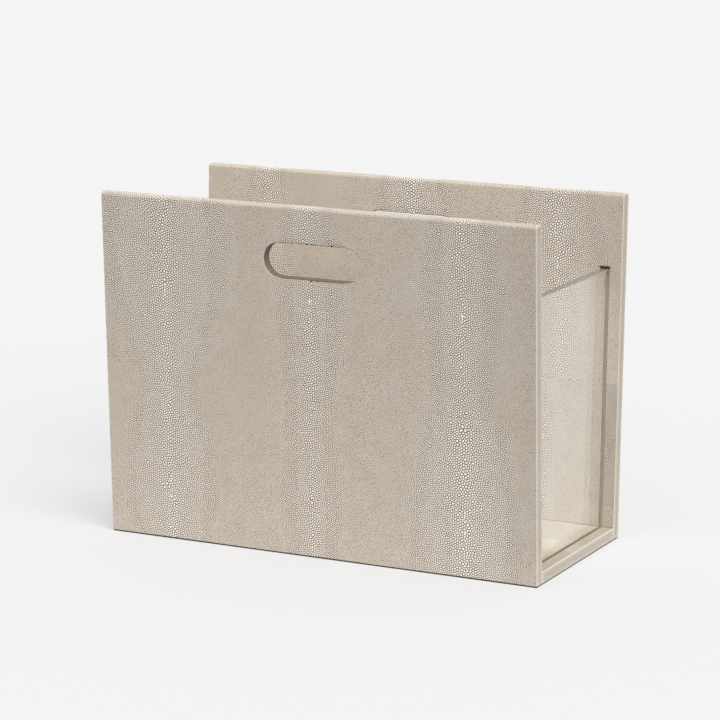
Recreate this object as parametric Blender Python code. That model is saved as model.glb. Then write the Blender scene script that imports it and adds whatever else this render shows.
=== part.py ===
"""Magazine holder: two splayed boards and a floor, covered in shagreen hides, with clear end panels.

Metres, +Z up, +X along the holder, -Y towards its front. The origin is the middle of the underside.
Each side board is drawn lying along its own slope: x along the board, y from its outer face (0)
towards the inside, z up the slope. An empty then leans it outwards; the back board is the same
thing turned half round.
"""
import math

import bmesh
import bpy

# Overall sizes
LENGTH = 0.410            # end to end
HEIGHT = 0.305            # underside to the outer top edge
BASE_DEPTH = 0.178        # outer face to outer face, at the floor
SPLAY = 0.0108            # how far each side board leans out at its top

# Materials of the build-up
BOARD_CORE_THICK = 0.009
BASE_CORE_THICK = 0.009
HIDE_THICK = 0.0007
FELT_THICK = 0.001
GAP = 0.0003              # glue line between two pieces that touch
EDGE_ROUND = 0.003        # finished radius along the top edges
CORNER_EASE = 0.0003      # tiny round along the cut edges of the end strips

# How the hides are laid out, as seen facing each surface from its own side
OUTER_MIDDLE_HIDE = 0.142
OUTER_MIDDLE_SHIFT = -0.0015  # middle of that hide, right of the board's middle
INNER_MIDDLE_HIDE = 0.144
INNER_MIDDLE_SHIFT = 0.004
LOWER_HIDE_TOP = 0.1387   # seam between the two rows, up the slope

# Hand slot through both side boards
SLOT_LENGTH = 0.0926
SLOT_HEIGHT = 0.030
SLOT_DROP = 0.0467        # its centre, below the top edge

# Clear end panels and the grooves that hold them
PANEL_THICK = 0.008
PANEL_INSET = 0.0124      # panel's outer face, in from the holder's ends
PANEL_DROP = 0.0658       # panel's top edge, below the boards' top
PANEL_EASE = 0.0004       # polished chamfer
GROOVE_DEPTH = 0.005
GROOVE_PLAY_OUTSIDE = 0.0011
GROOVE_PLAY_ABOVE = 0.0021

# Dowels between the floor and the side boards
DOWEL_DIAMETER = 0.005
DOWEL_LENGTH = 0.025
DOWEL_CHAMFER = 0.0005
DOWEL_WALL = 0.003        # core left behind each blind hole in a side board
DOWEL_PLACE_SHARES = (-0.36, -0.12, 0.12, 0.36)

FELT_INSET = 0.0006
OVERRUN = 0.003           # how far every cutter runs past the face it cuts

# Counts
EDGE_STEPS = 6
SLOT_STEPS = 14
DOWEL_SIDES = 16

# What follows from the sizes
LEAN = math.atan2(SPLAY, HEIGHT)
SKIN = HIDE_THICK + GAP
BOARD_THICK = BOARD_CORE_THICK + 2 * SKIN
BOARD_RUN = HEIGHT / math.cos(LEAN)
UNDERSIDE = FELT_THICK + GAP
BASE_CORE_TOP = UNDERSIDE + BASE_CORE_THICK
FLOOR = BASE_CORE_TOP + SKIN
HALF_LENGTH = LENGTH / 2
CORE_HALF_LENGTH = HALF_LENGTH - SKIN
PANEL_OUTER = HALF_LENGTH - PANEL_INSET
PANEL_INNER = PANEL_OUTER - PANEL_THICK
GROOVE_OUTER = PANEL_OUTER + GROOVE_PLAY_OUTSIDE
GROOVE_INNER = PANEL_INNER - GAP
GROOVE_FLOOR = FLOOR - GROOVE_DEPTH
PANEL_TOP = HEIGHT - PANEL_DROP
GROOVE_TOP = (PANEL_TOP + GROOVE_PLAY_ABOVE) / math.cos(LEAN)
SLOT_CENTRE = BOARD_RUN - SLOT_DROP
DOWEL_SEAT = BOARD_CORE_THICK - DOWEL_WALL
DOWEL_LEVEL = UNDERSIDE + BASE_CORE_THICK / 2


def run_to(depth, level):
    """Distance up the slope to a world height, at a depth below a side board's outer face."""
    return (level - depth * math.sin(LEAN)) / math.cos(LEAN)


def reach(depth, level):
    """World distance from the middle plane to a side board's inside, at that depth and height."""
    return BASE_DEPTH / 2 - depth / math.cos(LEAN) + level * math.tan(LEAN)


def arc(centre, radius, start_degrees, end_degrees, steps):
    """Points on an arc, both ends included, as (across, up) pairs."""
    points = []
    for step in range(steps + 1):
        angle = math.radians(start_degrees + (end_degrees - start_degrees) * step / steps)
        points.append((centre[0] + radius * math.cos(angle), centre[1] + radius * math.sin(angle)))
    return points


def clear_scene():
    for item in list(bpy.data.objects):
        bpy.data.objects.remove(item, do_unlink=True)


def make_material(name, colour, roughness, transmission=0.0):
    material = bpy.data.materials.new(name)
    material.use_nodes = True
    shader = material.node_tree.nodes["Principled BSDF"]
    shader.inputs["Base Color"].default_value = (*colour, 1.0)
    shader.inputs["Roughness"].default_value = roughness
    shader.inputs["Metallic"].default_value = 0.0
    shader.inputs["Transmission Weight"].default_value = transmission
    return material


def hide_material():
    return make_material("shagreen_hide", (0.47, 0.42, 0.35), 0.55)


def strip_material():
    return make_material("fine_shagreen_strip", (0.50, 0.45, 0.38), 0.5)


def core_material():
    return make_material("fibreboard_core", (0.12, 0.075, 0.045), 0.8)


def panel_material():
    return make_material("clear_acrylic", (0.93, 0.95, 0.95), 0.03, transmission=1.0)


def felt_material():
    return make_material("dark_felt", (0.03, 0.03, 0.03), 0.95)


def dowel_material():
    return make_material("beech_dowel", (0.55, 0.38, 0.22), 0.7)


def place(name, shape, material, parent):
    """Turns a bmesh into a named object that leans with its parent."""
    bmesh.ops.recalc_face_normals(shape, faces=shape.faces)
    mesh = bpy.data.meshes.new(name)
    shape.to_mesh(mesh)
    shape.free()
    mesh.shade_smooth()
    mesh.set_sharp_from_angle(angle=math.radians(35))
    if material is not None:
        mesh.materials.append(material)
    piece = bpy.data.objects.new(name, mesh)
    bpy.context.collection.objects.link(piece)
    piece.parent = parent
    return piece


def prism(points, push):
    """A closed solid: the outline through these points, pushed along a vector."""
    shape = bmesh.new()
    outline = shape.faces.new([shape.verts.new(point) for point in points])
    pushed = bmesh.ops.extrude_face_region(shape, geom=[outline])["geom"]
    moved = [item for item in pushed if isinstance(item, bmesh.types.BMVert)]
    bmesh.ops.translate(shape, verts=moved, vec=push)
    return shape


def along_x(profile, low, high):
    """A prism of a (y, z) profile between two places along the holder."""
    return prism([(low, across, up) for across, up in profile], (high - low, 0, 0))


def along_y(outline, low, high):
    """A prism of an (x, z) outline between two depths."""
    return prism([(across, low, up) for across, up in outline], (0, high - low, 0))


def cut(piece, cutter):
    step = piece.modifiers.new("cut " + cutter.name, "BOOLEAN")
    step.operation = "DIFFERENCE"
    step.object = cutter


def as_cutter(piece):
    piece.hide_render = True
    piece.display_type = "WIRE"
    return piece


def ease(piece, width):
    """Rounds a piece's sharp edges over."""
    step = piece.modifiers.new("eased edges", "BEVEL")
    step.width = width
    step.segments = 1
    step.limit_method = "ANGLE"
    step.angle_limit = math.radians(50)


def slot_outline(grown):
    """The hand slot's round-ended outline, grown all round."""
    radius = SLOT_HEIGHT / 2 + grown
    centre = SLOT_LENGTH / 2 - SLOT_HEIGHT / 2
    right = arc((centre, SLOT_CENTRE), radius, -90, 90, SLOT_STEPS)
    left = arc((-centre, SLOT_CENTRE), radius, 90, 270, SLOT_STEPS)
    return right + left


def board_profile(inset):
    """A side board's section, set in from its finished faces: rounded top, level bottom."""
    near, far = inset, BOARD_THICK - inset
    top, radius = BOARD_RUN - inset, EDGE_ROUND - inset
    profile = [(far, run_to(far, UNDERSIDE))]
    profile += arc((far - radius, top - radius), radius, 0, 90, EDGE_STEPS)
    profile += arc((near + radius, top - radius), radius, 90, 180, EDGE_STEPS)
    profile.append((near, run_to(near, UNDERSIDE)))
    return profile


def rolled_profile(bottom):
    """An upper hide's section on the outer face: up the face, over the edge, half across the top."""
    half_top = BOARD_THICK / 2 - GAP / 2
    centre = (EDGE_ROUND, BOARD_RUN - EDGE_ROUND)
    outside = arc(centre, EDGE_ROUND, 180, 90, EDGE_STEPS)
    inside = arc(centre, EDGE_ROUND - HIDE_THICK, 90, 180, EDGE_STEPS)
    seam = [(half_top, BOARD_RUN), (half_top, BOARD_RUN - HIDE_THICK)]
    return [(0, bottom)] + outside + seam + inside + [(HIDE_THICK, bottom)]


def flat_profile(near, far, low_level, top):
    """A lower hide's section: level at the bottom, square to the board at the row seam."""
    return [(near, run_to(near, low_level)), (far, run_to(far, low_level)), (far, top), (near, top)]


def mirrored(profile):
    """The same section on the board's inner face."""
    return [(BOARD_THICK - across, up) for across, up in profile]


def columns(middle_width, middle_shift, from_inside):
    """Where each column of hides starts and ends along the board, seams taken off."""
    first = middle_shift - middle_width / 2
    second = middle_shift + middle_width / 2
    spans = [
        ("left", -CORE_HALF_LENGTH, first - GAP / 2),
        ("middle", first + GAP / 2, second - GAP / 2),
        ("right", second + GAP / 2, CORE_HALF_LENGTH),
    ]
    if from_inside:
        spans = [(name, -high, -low) for name, low, high in spans]
    return spans


def side_board(side, lean, material, cutters):
    board = place(side + "_board", along_x(board_profile(SKIN), -CORE_HALF_LENGTH, CORE_HALF_LENGTH), material, lean)
    for cutter in cutters:
        cut(board, cutter)
    return board


def handle_lining(side, lean, material, slot_cutter):
    shape = along_y(slot_outline(HIDE_THICK), SKIN, BOARD_THICK - SKIN)
    cut(place(side + "_handle_lining", shape, material, lean), slot_cutter)


def end_strips(side, lean, material, end_names):
    """Strips over both ends of a side board, with its whole outline."""
    starts = (-HALF_LENGTH, HALF_LENGTH - HIDE_THICK)
    for end, start in zip(end_names, starts):
        shape = along_x(board_profile(0), start, start + HIDE_THICK)
        ease(place(side + "_end_strip_" + end, shape, material, lean), CORNER_EASE)


def outer_hides(side, lean, material, slot_cutter, rename):
    for column, low, high in columns(OUTER_MIDDLE_HIDE, OUTER_MIDDLE_SHIFT, False):
        name = side + "_outer_hide_{}_" + rename[column]
        upper = along_x(rolled_profile(LOWER_HIDE_TOP + GAP / 2), low, high)
        upper = place(name.format("upper"), upper, material, lean)
        if column == "middle":
            cut(upper, slot_cutter)
        lower = along_x(flat_profile(0, HIDE_THICK, UNDERSIDE, LOWER_HIDE_TOP - GAP / 2), low, high)
        place(name.format("lower"), lower, material, lean)


def inner_hides(side, lean, material, slot_cutter, groove_cutters, rename):
    """Hides on the inner face. The outer columns are notched or parted by the panel grooves."""
    near, far = BOARD_THICK - HIDE_THICK, BOARD_THICK
    lower_profile = flat_profile(near, far, FLOOR + GAP, LOWER_HIDE_TOP - GAP / 2)
    for column, low, high in columns(INNER_MIDDLE_HIDE, INNER_MIDDLE_SHIFT, True):
        # Seen from inside, the columns run the other way along the board.
        end = rename[{"left": "right", "middle": "middle", "right": "left"}[column]]
        name = side + "_inner_{}_" + end
        upper = along_x(mirrored(rolled_profile(LOWER_HIDE_TOP + GAP / 2)), low, high)
        upper = place(name.format("hide_upper"), upper, material, lean)
        if column == "middle":
            cut(upper, slot_cutter)
            place(name.format("hide_lower"), along_x(lower_profile, low, high), material, lean)
            continue
        cut(upper, groove_cutters[column])
        if column == "left":
            main, strip = (low, GROOVE_INNER), (GROOVE_OUTER, high)
        else:
            main, strip = (-GROOVE_INNER, high), (low, -GROOVE_OUTER)
        place(name.format("hide_lower"), along_x(lower_profile, *main), material, lean)
        place(name.format("groove_strip"), along_x(lower_profile, *strip), material, lean)


def groove_cutter(name, lean, low, high):
    """Cuts a stopped groove in a side board's inner face, from the floor's groove to just above the panel."""
    bottom, mouth = BOARD_THICK - GROOVE_DEPTH, BOARD_THICK + OVERRUN
    profile = [
        (bottom, run_to(bottom, GROOVE_FLOOR)),
        (mouth, run_to(mouth, GROOVE_FLOOR)),
        (mouth, GROOVE_TOP),
        (bottom, GROOVE_TOP),
    ]
    return as_cutter(place(name, along_x(profile, low, high), None, lean))


def dowel_joint(index, side, turn, material):
    """One dowel between the floor and a side board, and the cutter for the hole it fits in."""
    joint = reach(BOARD_THICK - SKIN + GAP / 2, DOWEL_LEVEL)
    outer_end = joint + DOWEL_SEAT - GAP
    middle = outer_end - DOWEL_LENGTH / 2
    place_along = DOWEL_PLACE_SHARES[index] * LENGTH
    made = []
    for name, grown in ((f"dowel_{side}_{index + 1}", 0.0), (f"hole_{side}_{index + 1}", GAP)):
        shape = bmesh.new()
        radius = DOWEL_DIAMETER / 2 + grown
        bmesh.ops.create_cone(
            shape,
            cap_ends=True,
            segments=DOWEL_SIDES,
            radius1=radius,
            radius2=radius,
            depth=DOWEL_LENGTH + 2 * grown,
        )
        piece = place(name, shape, None if grown else material, None)
        piece.rotation_euler = (math.radians(90), 0, 0)
        piece.location = (place_along * turn, -middle * turn, DOWEL_LEVEL)
        made.append(piece)
    dowel, hole = made
    ease(dowel, DOWEL_CHAMFER)
    return as_cutter(hole)


def side_assembly(side, half_turn, materials, holes, rename):
    """Everything on one side: board, lining, end strips and hides, leaning out together."""
    turn = -1 if half_turn else 1
    lean = bpy.data.objects.new(side + "_side", None)
    bpy.context.collection.objects.link(lean)
    lean.location = (0, -turn * BASE_DEPTH / 2, 0)
    lean.rotation_euler = (LEAN, 0, math.pi if half_turn else 0)

    def lying_slot(name, grown):
        shape = along_y(slot_outline(grown), -OVERRUN, BOARD_THICK + OVERRUN)
        return as_cutter(place(name, shape, None, lean))

    slot = lying_slot(side + "_slot_cutter", 0.0)
    wide_slot = lying_slot(side + "_core_slot_cutter", SKIN)
    grooves = {
        "left": groove_cutter(side + "_groove_cutter_a", lean, GROOVE_INNER, GROOVE_OUTER),
        "right": groove_cutter(side + "_groove_cutter_b", lean, -GROOVE_OUTER, -GROOVE_INNER),
    }
    side_board(side, lean, materials["core"], [wide_slot, *grooves.values(), *holes])
    handle_lining(side, lean, materials["strip"], slot)
    end_strips(side, lean, materials["strip"], (rename["left"], rename["right"]))
    outer_hides(side, lean, materials["hide"], slot, rename)
    inner_hides(side, lean, materials["hide"], slot, grooves, rename)


def level_slab(name, depth, bottom, top, low, high, material):
    """A flat piece between the leaning boards, its long edges cut to their slope."""
    profile = []
    for level, way in ((bottom, -1), (bottom, 1), (top, 1), (top, -1)):
        profile.append((way * reach(depth, level), level))
    return place(name, along_x(profile, low, high), material, None)


def floor_assembly(materials, holes):
    """The floor board, its hides, the strips over its ends and the felt under everything."""
    beside_core = BOARD_THICK - SKIN + GAP
    base = level_slab(
        "base_board", beside_core, UNDERSIDE, BASE_CORE_TOP, -CORE_HALF_LENGTH, CORE_HALF_LENGTH, materials["core"]
    )
    for hole in holes:
        cut(base, hole)
    half_width = BASE_DEPTH / 2
    for name, low, high in (("a", GROOVE_INNER, GROOVE_OUTER), ("b", -GROOVE_OUTER, -GROOVE_INNER)):
        outline = [
            (low, GROOVE_FLOOR),
            (high, GROOVE_FLOOR),
            (high, FLOOR + OVERRUN),
            (low, FLOOR + OVERRUN),
        ]
        shape = along_y(outline, -half_width, half_width)
        cut(base, as_cutter(place("base_groove_cutter_" + name, shape, None, None)))

    floor_bottom = BASE_CORE_TOP + GAP
    spans = (
        ("floor_hide", -GROOVE_INNER, GROOVE_INNER),
        ("floor_groove_strip_left", -CORE_HALF_LENGTH, -GROOVE_OUTER),
        ("floor_groove_strip_right", GROOVE_OUTER, CORE_HALF_LENGTH),
    )
    for name, low, high in spans:
        level_slab(name, beside_core, floor_bottom, FLOOR, low, high, materials["hide"])

    ends = (("left", -HALF_LENGTH), ("right", HALF_LENGTH - HIDE_THICK))
    for end, start in ends:
        strip = level_slab(
            "base_end_strip_" + end,
            BOARD_THICK + GAP,
            UNDERSIDE,
            FLOOR,
            start,
            start + HIDE_THICK,
            materials["strip"],
        )
        ease(strip, CORNER_EASE)


def underside_felt(material):
    half_x, half_y = HALF_LENGTH - FELT_INSET, BASE_DEPTH / 2 - FELT_INSET
    outline = [(-half_y, 0), (half_y, 0), (half_y, FELT_THICK), (-half_y, FELT_THICK)]
    place("underside_felt", along_x(outline, -half_x, half_x), material, None)


def end_panels(material):
    """Clear panels that widen upwards with the boards, seated in the grooves of boards and floor."""
    in_groove = BOARD_THICK - GROOVE_DEPTH + GAP
    for end, start in (("left", -PANEL_OUTER), ("right", PANEL_INNER)):
        panel = level_slab(
            end + "_end_panel",
            in_groove,
            GROOVE_FLOOR + GAP,
            PANEL_TOP,
            start,
            start + PANEL_THICK,
            material,
        )
        ease(panel, PANEL_EASE)


def build():
    clear_scene()
    materials = {
        "hide": hide_material(),
        "strip": strip_material(),
        "core": core_material(),
    }
    dowel_wood = dowel_material()
    holes = {"front": [], "back": []}
    for side, turn in (("front", 1), ("back", -1)):
        for index in range(len(DOWEL_PLACE_SHARES)):
            holes[side].append(dowel_joint(index, side, turn, dowel_wood))
    as_seen = {"left": "left", "middle": "middle", "right": "right"}
    turned = {"left": "right", "middle": "middle", "right": "left"}
    side_assembly("front", False, materials, holes["front"], as_seen)
    side_assembly("back", True, materials, holes["back"], turned)
    floor_assembly(materials, holes["front"] + holes["back"])
    underside_felt(felt_material())
    end_panels(panel_material())


build()
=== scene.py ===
"""Looks of the magazine holder: shagreen hides on two splayed boards and a floor, with clear end panels."""
import math
from collections import namedtuple

import bmesh
import bpy
import numpy as np
from mathutils import Euler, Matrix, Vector
from mathutils.geometry import delaunay_2d_cdt


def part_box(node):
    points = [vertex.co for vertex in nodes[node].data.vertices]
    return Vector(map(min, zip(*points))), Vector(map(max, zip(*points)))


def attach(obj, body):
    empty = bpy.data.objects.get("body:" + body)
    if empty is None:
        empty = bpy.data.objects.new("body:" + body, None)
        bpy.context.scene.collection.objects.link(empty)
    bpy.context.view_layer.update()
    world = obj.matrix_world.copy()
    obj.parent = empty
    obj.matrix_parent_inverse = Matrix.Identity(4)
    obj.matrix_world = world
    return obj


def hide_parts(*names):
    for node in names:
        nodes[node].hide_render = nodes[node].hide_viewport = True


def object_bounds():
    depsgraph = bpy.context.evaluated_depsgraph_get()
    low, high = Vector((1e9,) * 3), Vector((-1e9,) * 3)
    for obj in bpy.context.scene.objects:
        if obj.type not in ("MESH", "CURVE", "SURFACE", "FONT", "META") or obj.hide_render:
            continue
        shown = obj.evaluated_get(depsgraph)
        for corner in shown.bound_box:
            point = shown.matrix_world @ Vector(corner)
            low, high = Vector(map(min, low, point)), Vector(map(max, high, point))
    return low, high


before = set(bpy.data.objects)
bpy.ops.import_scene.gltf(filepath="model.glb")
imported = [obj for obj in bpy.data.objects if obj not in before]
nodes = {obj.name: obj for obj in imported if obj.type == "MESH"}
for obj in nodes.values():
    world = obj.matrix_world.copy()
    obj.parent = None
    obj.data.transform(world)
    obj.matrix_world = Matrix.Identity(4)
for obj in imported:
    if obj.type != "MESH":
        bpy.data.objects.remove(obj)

cad_low, cad_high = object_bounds()


# Board cores
# Two side boards and a floor board of brown fibreboard, glued and dowelled together. They show only in
# the panel grooves, where the saw has left the fibres bare, so the surface is dull and slightly hairy.
CORE_BROWN = (0.300, 0.215, 0.145)
CORE_DARK = (0.160, 0.112, 0.076)
FIBRE_SIZE = 0.0005


def put(tree, kind, inputs=None, **settings):
    """Adds a node, with its settings, and its inputs set to values or joined to sockets."""
    node = tree.nodes.new(kind)
    for name, value in settings.items():
        setattr(node, name, value)
    for key, value in (inputs or {}).items():
        if isinstance(value, bpy.types.NodeSocket):
            tree.links.new(value, node.inputs[key])
        else:
            node.inputs[key].default_value = value
    return node


def maths(tree, operation, *values):
    """A sum or a comparison of numbers or sockets, as a socket."""
    return put(tree, "ShaderNodeMath", dict(enumerate(values)), operation=operation).outputs[0]


def vector_maths(tree, operation, *values):
    return put(tree, "ShaderNodeVectorMath", dict(enumerate(values)), operation=operation).outputs


def remap(tree, value, low, high, to_low=0.0, to_high=1.0, way="LINEAR"):
    inputs = {"Value": value, "From Min": low, "From Max": high, "To Min": to_low, "To Max": to_high}
    return put(tree, "ShaderNodeMapRange", inputs, interpolation_type=way).outputs[0]


def mix_colours(tree, share, first, second, blend="MIX"):
    """A colour between two, where each is a socket or a linear colour."""
    inputs = {0: share}
    for key, colour in ((6, first), (7, second)):
        inputs[key] = colour if isinstance(colour, bpy.types.NodeSocket) else (*colour, 1.0)
    return put(tree, "ShaderNodeMix", inputs, data_type="RGBA", blend_type=blend).outputs[2]


def new_material(name, **shader_inputs):
    """An empty node material with a Principled shader; its inputs are given with _ for a space."""
    material = bpy.data.materials.new(name)
    material.use_nodes = True
    shader = material.node_tree.nodes["Principled BSDF"]
    for key, value in shader_inputs.items():
        shader.inputs[key.replace("_", " ")].default_value = value
    return material, material.node_tree, shader


def wear(material, *names):
    """Gives CAD nodes a material in place of the one they came with."""
    for name in names:
        piece = nodes[name]
        for slot in piece.material_slots:
            slot.material = material


def noise(tree, where, size, detail=3.0, rough=0.55):
    """Noise whose lumps are about this many metres wide, at places given by a socket."""
    inputs = {"Vector": where, "Scale": 1 / size, "Detail": detail, "Roughness": rough}
    return put(tree, "ShaderNodeTexNoise", inputs).outputs["Fac"]


def bump(tree, height, distance, strength=1.0):
    inputs = {"Height": height, "Distance": distance, "Strength": strength}
    return put(tree, "ShaderNodeBump", inputs).outputs[0]


def fibrous(name, dark, pale, size, squeeze, detail, rough, depth, **shader_inputs):
    """A material of fine fibres, longest along the axis where squeeze is smallest."""
    material, tree, shader = new_material(name, **shader_inputs)
    where = put(tree, "ShaderNodeTexCoord").outputs["Object"]
    squeezed = put(tree, "ShaderNodeMapping", {"Vector": where, "Scale": squeeze}).outputs[0]
    fibres = noise(tree, squeezed, size, detail, rough)
    tree.links.new(mix_colours(tree, fibres, dark, pale), shader.inputs["Base Color"])
    tree.links.new(bump(tree, fibres, depth), shader.inputs["Normal"])
    return material


core = fibrous(
    "brown_fibreboard", CORE_DARK, CORE_BROWN, FIBRE_SIZE, (0.25, 1.0, 1.0), 6.0, 0.7, 0.0002,
    Roughness=0.85, Specular_IOR_Level=0.25,
)
wear(core, "front_board", "back_board", "base_board")


# Dowels
# Eight chamfered beech pins glued into the floor board and the side boards. Nothing of them shows
# once the holder is together. Their grain runs along them, across the holder.
BEECH_PALE = (0.60, 0.43, 0.27)
BEECH_DARK = (0.42, 0.27, 0.15)
BEECH_GRAIN = 0.0006

beech = fibrous(
    "beech", BEECH_DARK, BEECH_PALE, BEECH_GRAIN, (1.0, 0.06, 1.0), 4.0, 0.55, 0.0001, Roughness=0.7
)
wear(beech, *[name for name in nodes if name.startswith("dowel_")])


# Hides
# Stingray shagreen, dyed greige and sanded until the tops of its pebbles are ivory. Each skin has a
# row of large beads along its spine and grows finer towards its sides. The skins are trimmed square,
# glued to the boards edge to edge, and the upper ones are rolled over the boards' top edges.
HEIGHT = cad_high.z
BASE_DEPTH = 0.178
SPLAY = 0.0108            # how far each board leans out at its top
BOARD_THICK = 0.011       # with its hides
EDGE_ROUND = 0.003
ROW_SEAM = 0.1387         # between the two rows of hides, up the slope
SEAM = 0.00006            # two hides meet as closely as a knife can trim them
SOLID_GAP = 0.0003        # between the solids of two hides, closed here
HIDE_THICK = 0.0007
SKIN_DEPTH = 0.001        # from a hide's face to its board
VALLEY = 0.00026          # how far the skin between the pebbles lies below their tops
SUNK = 0.00003            # the feet of the pebbles are that far into the skin
RIM = 0.00007             # rounding of a trimmed edge
FLAT_FROM = 0.0002        # beyond the rounding, a line keeps the shading of the skin flat
RIM_STEPS = (0.0, 0.3, 1.0)  # shares of the rounding that have a mesh line
SHEET_STEP = 0.003        # mesh size of the flat skin
CORNER_STEPS = 8
ROLL_STEPS = 8
THINNEST = 0.00005        # least thickness of the skin under its rounded edges
RUBBED_AND_LIT_WIDTH = 0.0009        # how far in from its edge a strip is painted pale, for rubbing and as a painted highlight on its rounding

SLOT_LENGTH = 0.0926
SLOT_HEIGHT = 0.030
SLOT_DROP = 0.0467        # from the top edge to the slot's centre
SLOT_ROLL = 0.0007        # the hide turns in at the hand slot with this radius
ROLL_ANGLES = (0, 22, 45, 67, 90)
SLOT_STEPS = 28
SLOT_STRAIGHT = SLOT_LENGTH / 2 - SLOT_HEIGHT / 2  # half of its straight run

GROOVE_PLAY_ABOVE = 0.0021  # the grooves stop that far above the end panels

LEAN = math.atan2(SPLAY, HEIGHT)
BOARD_RUN = HEIGHT / math.cos(LEAN)
ROLL_START = BOARD_RUN - EDGE_ROUND
ROLL_END = ROLL_START + EDGE_ROUND * math.pi / 2
TOP_SEAM = ROLL_END + BOARD_THICK / 2 - EDGE_ROUND
SLOT_CENTRE = BOARD_RUN - SLOT_DROP
GROOVE_TOP = (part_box("right_end_panel")[1].z + GROOVE_PLAY_ABOVE) / math.cos(LEAN)

# Sizes of the pebbles, as the distance from one to the next
FINE = 0.00115            # at the sides of a skin
SPINE_EXTRA = 0.00043     # that much coarser on the spine itself
SPINE_REACH = 0.006       # and how fast that falls off beside it
SMALLEST_PEBBLE = 0.00142  # a finer grain is left to the material
SMALLEST_BEHIND = 0.0016  # the same on the back board's outer face
SMALLEST_INSIDE = 0.0018  # and inside the holder, on the floor, the front board and low down on the back
FRINGE = 0.00012          # over that range of sizes, more and more pebbles stand out of the grain
RISE_OUT = 0.00022        # and over the next one, the skin between them sinks to its full depth
BARE_DEPTH = 0.00011      # how deep the skin lies where its grain is too fine to model
STONE_LEAST = 0.72        # how much a pebble of the fringe looks like the ones on sunken skin
SEAM_PAINTED_LIGHT = 0.65       # painted light on a trimmed edge between pebbles, lifting the shade that falls into the seam
SCATTER_MORE = 0.0001     # pebbles that much finer are scattered too, to hold the others in place
SMALLEST_FLAT = 0.0019    # below this, a pebble is sanded to a point and not to a flat
LARGEST = 0.0028
PEARL_SIZES = (0.0025, 0.0029)  # over that range of sizes, a bead turns as pale as a pearl
PEARL_CLEARS = 0.5        # no pebble's centre lies nearer to a pearl than that share of its length
PATCHINESS = 0.06         # how unevenly the coarse zone ends
HEX_SHARE = math.sqrt(3) / 2

CELL_SHARE = 0.93         # of its room that a pebble's foot fills
FLAT_SHARE = 0.60         # of a pebble's width, sanded to the same level as its neighbours
STEEPNESS = 0.11          # height of a pebble as a share of its width
PEARL_SHAPE = (0.32, 0.41)  # half its width and half its length, as shares of its size
CUT_BEYOND = 0.36  # how far past a straight edge a pebble may have its centre, as a share of its size
SLOT_BEYOND = 0.15  # the same at the hand slot
BENT_INSIDE = 0.45  # how far a pebble's centre keeps from a notch or a round corner, as such a share

# The grain that is left to the material
GRAIN_SIZES = (0.00145, 0.00125, 0.00108)
COARSEST_GRAIN = 0.0015
GRAIN_STEP = 0.0001       # a pattern of the grain takes over where the skin's is that much finer
GRAIN_UNEVENNESS = 0.7
GRAIN_SLANT = 0.7
GRAIN_DEPTH = 0.0001

# Colours, and how far they go from the finest pebbles to the coarsest
GREIGE = (0.575, 0.508, 0.424)
TAUPE = (0.190, 0.145, 0.102)
IVORY = (0.925, 0.880, 0.808)
PEARL = (0.860, 0.825, 0.770)
SANDED = (0.20, 1.00)     # share of ivory in a pebble's top
VALLEY_DYED = (0.48, 0.88)  # share of taupe in the skin between the pebbles
SIDE_DYED = (0.15, 0.60)  # share of taupe in a pebble's sides
DULLEST_TOP = 0.65        # some tops are sanded that much less than others
# share of ivory mixed into an edge that is painted pale, as wear and as painted light
WEAR_AND_LIGHT_SHARE = 0.6
MOTTLE_SIZE = 0.022
SPECKLE_SIZE = 0.0018
SPECKLE = 0.06
RIGHT_END_DARKER_FROM = (0.150, 0.204)  # towards its right end the holder is coloured a little darker
RIGHT_END_LEVEL = 0.92

SKIN_VALUES = "spine size narrow wide middle spread fall pearls smallest"
Skin = namedtuple("Skin", SKIN_VALUES, defaults=[SMALLEST_PEBBLE])
# spine: where the row of beads runs along the board, as seen in the world's frame
# size: of the pebbles beside the spine
# narrow, wide: half width of the coarse zone along the spine, and at its widest
# middle, spread: height up the slope of the widest place, and how far it reaches
# fall: how suddenly the coarse zone ends, from 1, gently, to 3, at once
# pearls: the largest beads, as (height up the slope, length)
# smallest: the finest pebbles that are modelled
SKINS = {
    "front_outer_hide_upper_left": Skin(
        -0.1440, 0.00214, 0.015, 0.100, 0.262, 0.120, 1.6,
        ((0.2400, 0.0029), (0.2325, 0.0035), (0.2285, 0.0031), (0.2235, 0.0030), (0.2190, 0.0029)),
    ),
    "front_outer_hide_upper_middle": Skin(
        -0.0033, 0.00196, 0.024, 0.070, 0.225, 0.110, 1.4, ((0.2250, 0.0039),)
    ),
    "front_outer_hide_upper_right": Skin(
        0.1383, 0.00199, 0.056, 0.080, 0.243, 0.050, 1.4, ((0.2250, 0.0039), (0.2200, 0.0030))
    ),
    "front_outer_hide_lower_left": Skin(
        -0.1440, 0.00210, 0.027, 0.068, 0.055, 0.080, 2.1,
        ((0.0570, 0.0030), (0.0525, 0.0032), (0.0380, 0.0034)),
    ),
    "front_outer_hide_lower_middle": Skin(
        -0.0050, 0.00193, 0.056, 0.070, 0.049, 0.036, 1.4, ((0.0529, 0.0026), (0.0490, 0.0034))
    ),
    "front_outer_hide_lower_right": Skin(
        0.1393, 0.00218, 0.050, 0.072, 0.040, 0.065, 1.9,
        ((0.0570, 0.0030), (0.0530, 0.0030), (0.0490, 0.0030), (0.0400, 0.0032)),
    ),
    "back_inner_hide_upper_left": Skin(
        -0.1427, 0.0020, 0.030, 0.050, 0.235, 0.050, 1.7, ((0.2300, 0.0032),)
    ),
    "back_inner_hide_upper_middle": Skin(
        0.0034, 0.0021, 0.036, 0.070, 0.250, 0.060, 1.7, ((0.2350, 0.0032),)
    ),
    "back_inner_hide_upper_right": Skin(
        0.1443, 0.0021, 0.036, 0.070, 0.255, 0.060, 1.7, ((0.2420, 0.0032), (0.2380, 0.0028))
    ),
}


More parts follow.
